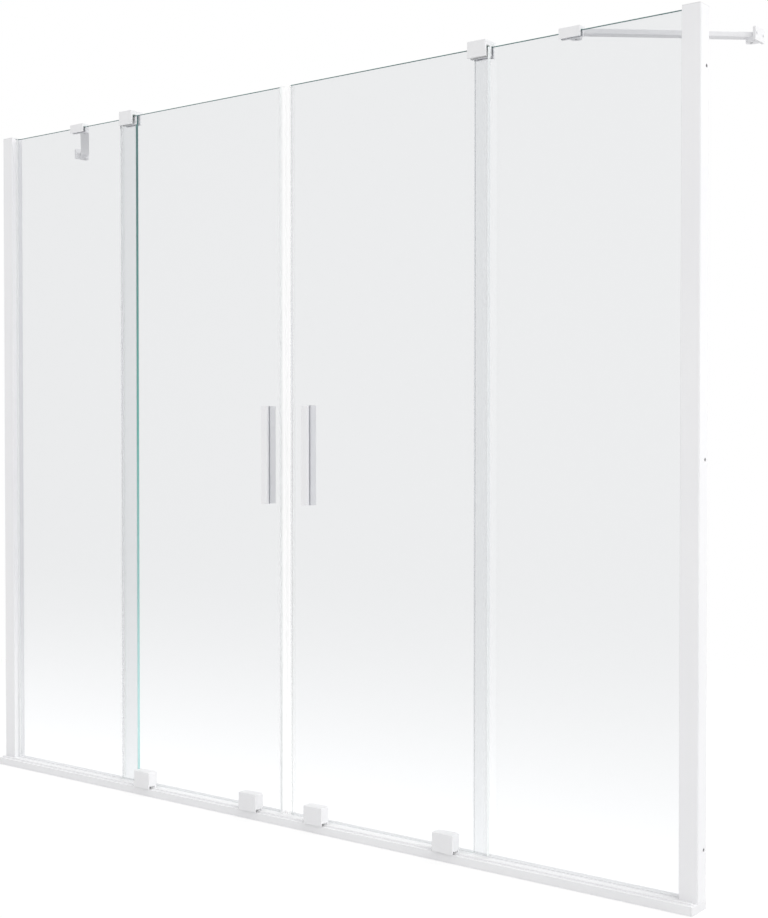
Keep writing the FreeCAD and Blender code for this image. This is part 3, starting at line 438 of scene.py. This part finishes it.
def sealed_edge(finishes):
    """Ground glass edge under a clear seal, painted pale for the light that the seal fills it with. From
    within it is a mirror.
    """
    material, tree, shader, output, place = start_material("sealed_glass_edge")
    lines = noise_at(tree, place, finishes.edge_grind, stretch=(1, 1, SEALED_GRIND_RATIO))
    shader.inputs["Base Color"].default_value = finishes.edge_pale_painted_light
    roughened(tree, shader, lines, smooth=0.3, rough=0.36)
    mirror_within(tree, shader, output, finishes)
    return material


def rail_edge(finishes):
    """Ground arrises of the lower and upright edges, dull, and painted pale for the light of the white rail.
    """
    material, tree, shader, _, place = start_material("ground_lower_edge")
    lines = noise_at(tree, place, finishes.edge_grind, stretch=(GRIND_RATIO, 1, 1))
    shader.inputs["Base Color"].default_value = finishes.edge_pale_painted_light
    roughened(tree, shader, lines, smooth=0.25, rough=0.4)
    return material


def clear_pvc(finishes):
    """Soft PVC, extruded: nearly clear, with fine draw lines along its length."""
    material, tree, shader, _, place = start_material("clear_soft_pvc")
    lines = noise_at(tree, place, finishes.seal_draw, stretch=(1, 1, DRAW_RATIO))
    shader.inputs["Base Color"].default_value = finishes.seal_tint
    shader.inputs["Alpha"].default_value = finishes.seal_haze
    shader.inputs["IOR"].default_value = PVC_INDEX
    roughened(tree, shader, lines, smooth=0.1, rough=0.25)
    return material


def milky_pvc(finishes):
    """Soft PVC, filled white round the magnets: light comes through it without a shape."""
    material, tree, shader, output, place = start_material("milky_soft_pvc")
    lines = noise_at(tree, place, finishes.seal_draw, stretch=(1, 1, DRAW_RATIO))
    shader.inputs["Base Color"].default_value = finishes.nose_colour
    shader.inputs["Transmission Weight"].default_value = finishes.nose_clear
    shader.inputs["IOR"].default_value = NOSE_INDEX
    roughened(tree, shader, lines, smooth=0.41, rough=0.45)
    lamps_pass(tree, shader, output, finishes.nose_colour)
    return material


def soft_gasket(finishes):
    """Thermoplastic rubber, extruded: dull and nearly white, with a faint grain."""
    material, tree, shader, _, place = start_material("pale_grey_rubber")
    grain = noise_at(tree, place, finishes.gasket_grain, detail=3.0)
    shader.inputs["Base Color"].default_value = finishes.gasket_colour
    roughened(tree, shader, grain, smooth=0.55, rough=0.7)
    embossed(tree, shader, grain, depth=0.03 * MILLIMETRE)
    return material


def natural_acetal(finishes):
    """Acetal, turned: dense natural white with a low sheen and faint tool lines."""
    material, tree, shader, _, place = start_material("natural_acetal")
    lines = noise_at(tree, place, finishes.turning, stretch=(1, TURN_RATIO, 1))
    shader.inputs["Base Color"].default_value = finishes.acetal_colour
    shader.inputs["IOR"].default_value = ACETAL_INDEX
    roughened(tree, shader, lines, smooth=0.26, rough=0.38)
    return material


def turned_steel(finishes):
    """Stainless steel, turned: bright metal with fine tool lines that spread its shine."""
    material, tree, shader, _, place = start_material("turned_stainless_steel")
    lines = noise_at(tree, place, finishes.turning, stretch=(1, TURN_RATIO, 1))
    shader.inputs["Base Color"].default_value = finishes.steel_colour
    shader.inputs["Metallic"].default_value = 1.0
    roughened(tree, shader, lines, smooth=0.22, rough=0.36)
    embossed(tree, shader, lines, depth=0.01 * MILLIMETRE)
    return material


MAKERS = {
    "white_coat": coated_aluminium,
    "coated_casting": coated_casting,
    "white_plastic": moulded_plastic,
    "clear_glass": float_glass,
    "top_edge": top_edge,
    "side_edge": side_edge,
    "sealed_edge": sealed_edge,
    "rail_edge": rail_edge,
    "clear_seal": clear_pvc,
    "seal_nose": milky_pvc,
    "gasket": soft_gasket,
    "acetal": natural_acetal,
    "steel": turned_steel,
}
NODE_SLOTS = {part["node"]: part["material_slot"] for part in frame["record"]["subparts"]}
made_materials = {}


def finish_of(context, kind):
    """The material of that kind, made once."""
    if kind not in made_materials:
        made_materials[kind] = MAKERS[kind](context.scene.screen_finishes)
    return made_materials[kind]


def dress_nodes(context, *names, kind=None):
    """Gives solids a material, or else the one of their own slot in the record."""
    for name in names:
        materials = frame["nodes"][name].data.materials
        materials.clear()
        materials.append(finish_of(context, kind or NODE_SLOTS[name]))


def both(*names):
    """Those names with each side's ending."""
    return [f"{name}_{side}" for name in names for side in SIDES]


def new_piece(context, name, shape, body, finishes, stands_for=None):
    """An object from a bmesh, riding on its body and finished in its materials."""
    mesh = bpy.data.meshes.new(name)
    shape.to_mesh(mesh)
    shape.free()
    for kind in finishes:
        mesh.materials.append(finish_of(context, kind))
    made = bpy.data.objects.new(name, mesh)
    context.scene.collection.objects.link(made)
    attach(made, body)
    if stands_for:
        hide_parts(stands_for)


class BATHSCREEN_OT_panes(bpy.types.Operator):
    """Make the glass of the fixed panes and doors, with ground edges"""

    bl_idname = "bath_screen.panes"
    bl_label = "Glass panes"

    def execute(self, context):
        for side in SIDES:
            self.pane(context, f"fixed_pane_{side}", f"fixed_glass_{side}", "frame", "side_edge")
            self.pane(context, f"door_pane_{side}", f"door_glass_{side}", f"{side}_door", "sealed_edge")
        return {"FINISHED"}

    def pane(self, context, node, name, body, upright_edge):
        """A pane with polished faces along Y and ground edges round them."""
        shape = bmesh.new()
        shape.from_mesh(frame["nodes"][node].data)
        bmesh.ops.remove_doubles(shape, verts=shape.verts, dist=TOUCHING)
        self.freed(shape, *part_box(node), context.scene.screen_sizes.glue_line)
        shape.normal_update()
        finishes = ("clear_glass", "top_edge", "rail_edge", upright_edge)
        for face in shape.faces:
            face.smooth = False
            face.material_index = finishes.index(self.finish_at(face.normal, upright_edge))
        new_piece(context, name, shape, body, finishes, node)

    def finish_at(self, normal, upright_edge):
        """The finish of a face by the way it looks. The lowest face is left clear."""
        if normal.z > FACING:
            return "top_edge"
        if abs(normal.x) > STRAIGHT:
            return upright_edge
        if max(abs(normal.x), -normal.z) > FACING and normal.z > -STRAIGHT:
            return "rail_edge"
        return "clear_glass"

    def freed(self, shape, low, high, gap):
        """Draws the pane in by the glue line, so that no face of it lies in a face of its seals."""
        centre = (low + high) / 2
        bmesh.ops.translate(shape, verts=shape.verts, vec=-centre)
        bmesh.ops.scale(shape, verts=shape.verts, vec=[1 - 2 * gap / size for size in high - low])
        bmesh.ops.translate(shape, verts=shape.verts, vec=centre)


class BATHSCREEN_OT_centre_seals(bpy.types.Operator):
    """Make the centre seals: clear legs on the glass, and the milky noses that hold the magnets"""

    bl_idname = "bath_screen.centre_seals"
    bl_label = "Centre seals"

    def execute(self, context):
        sizes = context.scene.screen_sizes
        for side, sign in SIDES.items():
            node = f"centre_seal_{side}"
            low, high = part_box(node)
            glass_low, glass_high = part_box(f"door_pane_{side}")
            seam, far = sorted((abs(low.x), abs(high.x)))
            web = min(abs(glass_low.x), abs(glass_high.x)) - sizes.glue_line
            nose_end = web - sizes.seal_wall
            half = (high.y - low.y) / 2
            grip = (glass_high.y - glass_low.y) / 2 + sizes.glue_line
            middle = (low.y + high.y) / 2
            front = [(web, -grip), (far, -grip), (far, -half), (nose_end, -half)]
            legs = self.extruded(self.section(front, sign, middle), low.z, high.z)
            self.rounded(legs, sign * far, sizes.seal_round)
            finishes = ("clear_seal",)
            new_piece(context, f"centre_strip_{side}", legs, f"{side}_door", finishes, node)
            front = [(seam, -half), (nose_end - sizes.glue_line, -half)]
            nose = self.extruded(self.section(front, sign, middle), low.z, high.z)
            self.rounded(nose, sign * seam, sizes.nose_round)
            new_piece(context, f"magnet_nose_{side}", nose, f"{side}_door", ("seal_nose",))
        return {"FINISHED"}

    def section(self, front, sign, middle):
        """A whole outline from its front half, on the side of that sign."""
        outline = front + [(x, -y) for x, y in reversed(front)]
        return [(sign * x, middle + y) for x, y in outline]

    def extruded(self, section, bottom, top):
        """A section drawn along the height."""
        shape = bmesh.new()
        face = shape.faces.new([shape.verts.new((x, y, bottom)) for x, y in section])
        drawn = bmesh.ops.extrude_face_region(shape, geom=[face], use_keep_orig=True)["geom"]
        raised = [item for item in drawn if isinstance(item, bmesh.types.BMVert)]
        bmesh.ops.translate(shape, verts=raised, vec=(0, 0, top - bottom))
        bmesh.ops.recalc_face_normals(shape, faces=shape.faces[:])
        return shape

    def rounded(self, shape, place, radius):
        """Rounds the upright edges that stand at that X."""
        edges = [
            edge
            for edge in shape.edges
            if all(abs(vert.co.x - place) < TOUCHING for vert in edge.verts)
            and abs(edge.verts[0].co.y - edge.verts[1].co.y) < TOUCHING
        ]
        bmesh.ops.bevel(
            shape, geom=edges, offset=radius, segments=4, profile=0.5, affect="EDGES", material=-1
        )


class BATHSCREEN_OT_edge_seals(bpy.types.Operator):
    """Finish the wiper seals on the doors' outer edges"""

    bl_idname = "bath_screen.edge_seals"
    bl_label = "Edge seals"

    def execute(self, context):
        dress_nodes(context, *both("edge_seal"))
        return {"FINISHED"}


class BATHSCREEN_OT_rail(bpy.types.Operator):
    """Finish the bottom rail, its end caps and its infill strip"""

    bl_idname = "bath_screen.rail"
    bl_label = "Bottom rail"

    def execute(self, context):
        dress_nodes(context, "bottom_rail", "channel_infill_strip", *both("rail_end_cap"))
        return {"FINISHED"}


class BATHSCREEN_OT_uprights(bpy.types.Operator):
    """Finish the wall channels, pane profiles and their caps"""

    bl_idname = "bath_screen.uprights"
    bl_label = "Wall uprights"

    def execute(self, context):
        dress_nodes(context, "profile_top_caps", *both("wall_channel", "pane_profile"))
        return {"FINISHED"}


class BATHSCREEN_OT_gaskets(bpy.types.Operator):
    """Finish the gaskets that hold the fixed panes"""

    bl_idname = "bath_screen.gaskets"
    bl_label = "Gaskets"

    def execute(self, context):
        dress_nodes(context, *both("glazing_gasket", "bed_gasket"))
        return {"FINISHED"}


class BATHSCREEN_OT_guides(bpy.types.Operator):
    """Finish the top guides and their liners"""

    bl_idname = "bath_screen.guides"
    bl_label = "Top guides"

    def execute(self, context):
        dress_nodes(context, *both("top_guide"), kind="coated_casting")
        dress_nodes(context, *both("guide_liner"))
        return {"FINISHED"}


class BATHSCREEN_OT_braces(bpy.types.Operator):
    """Finish the brace clips, bars and wall brackets"""

    bl_idname = "bath_screen.braces"
    bl_label = "Braces"

    def execute(self, context):
        dress_nodes(context, *both("brace_clip", "brace_bar", "brace_wall_bracket"), kind="coated_casting")
        return {"FINISHED"}


class BATHSCREEN_OT_handles(bpy.types.Operator):
    """Finish the handle bars on both faces of the doors"""

    bl_idname = "bath_screen.handles"
    bl_label = "Handles"

    def execute(self, context):
        dress_nodes(context, *both("outer_handle", "inner_handle"))
        return {"FINISHED"}


class BATHSCREEN_OT_rollers(bpy.types.Operator):
    """Finish the roller units: covers, carriers, wheels, bearings and clamp plates"""

    bl_idname = "bath_screen.rollers"
    bl_label = "Roller units"

    def execute(self, context):
        covers, works = both("roller_cover"), both("roller_carrier", "roller_wheel", "roller_bearing")
        dress_nodes(context, *self.units(covers), kind="coated_casting")
        dress_nodes(context, *self.units(works))
        dress_nodes(context, *both("clamp_plates"))
        return {"FINISHED"}

    def units(self, names):
        """Those names for the inner and outer roller of each door."""
        return [f"{name}_{end}" for name in names for end in ("inner", "outer")]


class BATHSCREEN_OT_screws(bpy.types.Operator):
    """Finish the screws"""

    bl_idname = "bath_screen.screws"
    bl_label = "Screws"

    def execute(self, context):
        dress_nodes(context, "brace_pivot_screws", "clamp_set_screws", "profile_screws")
        dress_nodes(context, *both("handle_screws", "roller_screws"))
        return {"FINISHED"}


class BATHSCREEN_OT_stage(bpy.types.Operator):
    """Set the floor, the soft studio light and the camera"""

    bl_idname = "bath_screen.stage"
    bl_label = "Studio"

    def execute(self, context):
        studio = context.scene.studio_settings
        context.scene.view_settings.view_transform = "Standard"
        self.floor(context, studio)
        self.room(context, studio)
        self.key(context, studio)
        self.camera(context, studio)
        return {"FINISHED"}

    def seen_directly(self, tree, path):
        """1 for rays from the camera, also those that have come through glass."""
        return calculated(tree, "MAXIMUM", path.outputs["Is Camera Ray"], path.outputs["Is Transmission Ray"])

    def floor(self, context, studio):
        """A white floor that keeps the screen's soft shadow near it and runs out into the background."""
        shape = bmesh.new()
        bmesh.ops.create_grid(shape, x_segments=1, y_segments=1, size=studio.floor_size / 2)
        bmesh.ops.translate(shape, verts=shape.verts, vec=(0, 0, CAD_BOX[0].z - studio.floor_gap))
        mesh = bpy.data.meshes.new("studio_floor")
        shape.to_mesh(mesh)
        shape.free()
        mesh.materials.append(self.floor_paint(studio))
        floor = bpy.data.objects.new("studio_floor", mesh)
        context.scene.collection.objects.link(floor)

    def floor_paint(self, studio):
        """Matt white paint that the screen mirrors as grey, with a painted pool of light seen through the
        glass.
        """
        material, tree, shader, output, place = start_material("matt_white_floor")
        tree.nodes.remove(shader)
        path = add_node(tree, "ShaderNodeLightPath")
        plain = add_node(tree, "ShaderNodeBsdfDiffuse", sockets={"Color": studio.floor_colour})
        mirrored = add_node(tree, "ShaderNodeEmission", sockets={"Color": studio.front_grey})
        lit = mixed_shader(
            tree, path.outputs["Is Glossy Ray"], plain.outputs["BSDF"], mirrored.outputs["Emission"]
        )
        level = self.pool(tree, place, studio)
        painted_pool_glow = add_node(tree, "ShaderNodeEmission", sockets={"Strength": level})
        seen = mixed_shader(
            tree,
            path.outputs["Is Transmission Ray"],
            self.ground(tree, place, studio),
            painted_pool_glow.outputs["Emission"],
        )
        shown = mixed_shader(tree, self.seen_directly(tree, path), lit, seen)
        tree.links.new(shown, output.inputs["Surface"])
        return material

    def ground(self, tree, place, studio):
        """White that shows soft shadows near the screen, and plain white farther off."""
        shaded = add_node(tree, "ShaderNodeBsdfDiffuse", sockets={"Color": studio.floor_shaded})
        glow = add_node(tree, "ShaderNodeEmission", sockets={"Strength": studio.floor_glow})
        near = add_node(
            tree, "ShaderNodeAddShader", sockets={0: shaded.outputs["BSDF"], 1: glow.outputs["Emission"]}
        )
        white = add_node(tree, "ShaderNodeEmission", sockets={"Strength": 1.0})
        far = add_node(tree, "ShaderNodeVectorMath", settings={"operation": "LENGTH"}, sockets={0: place})
        fade = add_node(
            tree,
            "ShaderNodeMapRange",
            settings={"interpolation_type": "SMOOTHSTEP"},
            sockets={
                "Value": far.outputs["Value"],
                "From Min": studio.fade_start,
                "From Max": studio.fade_end,
            },
        )
        return mixed_shader(tree, fade.outputs["Result"], near.outputs["Shader"], white.outputs["Emission"])

    def pool(self, tree, place, studio):
        """Painted pool of light: white, and a little more beside the rail, fading with the distance from it.
        """
        aside = add_node(tree, "ShaderNodeSeparateXYZ", sockets={"Vector": place}).outputs["Y"]
        away = calculated(tree, "ABSOLUTE", aside)
        fall = calculated(tree, "MULTIPLY", away, -1 / studio.pool_reach)
        share = calculated(tree, "EXPONENT", fall)
        return calculated(tree, "MULTIPLY_ADD", share, studio.painted_pool_level, 1.0)

    def room(self, context, studio):
        """White behind the screen, even light all round, and a greyer room in front for glass to mirror."""
        world = bpy.data.worlds.new("white_studio")
        context.scene.world = world
        world.use_nodes = True
        tree = world.node_tree
        tree.nodes.clear()
        path = add_node(tree, "ShaderNodeLightPath")
        way = add_node(tree, "ShaderNodeTexCoord").outputs["Generated"]
        depth = add_node(tree, "ShaderNodeSeparateXYZ", sockets={"Vector": way}).outputs["Y"]
        behind = add_node(
            tree,
            "ShaderNodeMapRange",
            settings={"interpolation_type": "SMOOTHSTEP"},
            sockets={"Value": depth, "From Min": ROOM_FRONT, "From Max": ROOM_BEHIND},
        )
        mirrored = mixed_colour(tree, behind.outputs["Result"], studio.front_grey, WHITE)
        even = add_node(tree, "ShaderNodeBackground", sockets={"Color": WHITE, "Strength": studio.room_level})
        glossy = add_node(tree, "ShaderNodeBackground", sockets={"Color": mirrored})
        white = add_node(tree, "ShaderNodeBackground", sockets={"Color": WHITE, "Strength": 1.0})
        lit = mixed_shader(
            tree, path.outputs["Is Glossy Ray"], even.outputs["Background"], glossy.outputs["Background"]
        )
        shown = mixed_shader(tree, self.seen_directly(tree, path), lit, white.outputs["Background"])
        add_node(tree, "ShaderNodeOutputWorld", sockets={"Surface": shown})

    def key(self, context, studio):
        """One broad light, so that every part of the long screen gets the same."""
        light = bpy.data.lights.new("key_light", "SUN")
        light.energy = studio.key_level
        light.angle = studio.key_spread
        lamp = bpy.data.objects.new("key_light", light)
        context.scene.collection.objects.link(lamp)
        lamp.location = KEY_DIRECTION.normalized() * studio.key_distance
        lamp.rotation_mode = "QUATERNION"
        lamp.rotation_quaternion = (-KEY_DIRECTION).to_track_quat("-Z", "Y")

    def camera(self, context, studio):
        """A camera at the right front, a little above the middle of the screen."""
        lens = bpy.data.cameras.new("studio_camera")
        lens.lens = studio.lens
        camera = bpy.data.objects.new("studio_camera", lens)
        context.scene.collection.objects.link(camera)
        camera.location = CAMERA_PLACE
        camera.rotation_euler = CAMERA_TURN
        context.scene.camera = camera


OPERATORS = (
    BATHSCREEN_OT_panes,
    BATHSCREEN_OT_centre_seals,
    BATHSCREEN_OT_edge_seals,
    BATHSCREEN_OT_rail,
    BATHSCREEN_OT_uprights,
    BATHSCREEN_OT_gaskets,
    BATHSCREEN_OT_guides,
    BATHSCREEN_OT_braces,
    BATHSCREEN_OT_handles,
    BATHSCREEN_OT_rollers,
    BATHSCREEN_OT_screws,
    BATHSCREEN_OT_stage,
)
GROUPS = {
    "screen_finishes": ScreenFinishes,
    "screen_sizes": ScreenSizes,
    "studio_settings": StudioSettings,
}


class VIEW3D_PT_bath_screen(bpy.types.Panel):
    """Lists the screen's pieces, sizes and colours"""

    bl_idname = "VIEW3D_PT_bath_screen"
    bl_label = "Sliding bath screen"
    bl_space_type = "VIEW_3D"
    bl_region_type = "UI"
    bl_category = "Bath screen"

    def draw(self, context):
        for operator in OPERATORS:
            self.layout.operator(operator.bl_idname)
        for name, kind in GROUPS.items():
            column = self.layout.box().column()
            for size in kind.__annotations__:
                column.prop(getattr(context.scene, name), size)


CLASSES = (*GROUPS.values(), *OPERATORS, VIEW3D_PT_bath_screen)


def register():
    for kind in CLASSES:
        bpy.utils.register_class(kind)
    for name, kind in GROUPS.items():
        setattr(bpy.types.Scene, name, PointerProperty(type=kind))


def unregister():
    for name in GROUPS:
        delattr(bpy.types.Scene, name)
    for kind in reversed(CLASSES):
        bpy.utils.unregister_class(kind)


def main():
    register()
    bpy.ops.bath_screen.panes()
    bpy.ops.bath_screen.centre_seals()
    bpy.ops.bath_screen.edge_seals()
    bpy.ops.bath_screen.rail()
    bpy.ops.bath_screen.uprights()
    bpy.ops.bath_screen.gaskets()
    bpy.ops.bath_screen.guides()
    bpy.ops.bath_screen.braces()
    bpy.ops.bath_screen.handles()
    bpy.ops.bath_screen.rollers()
    bpy.ops.bath_screen.screws()
    bpy.ops.bath_screen.stage()


if __name__ == "__main__":
    main()
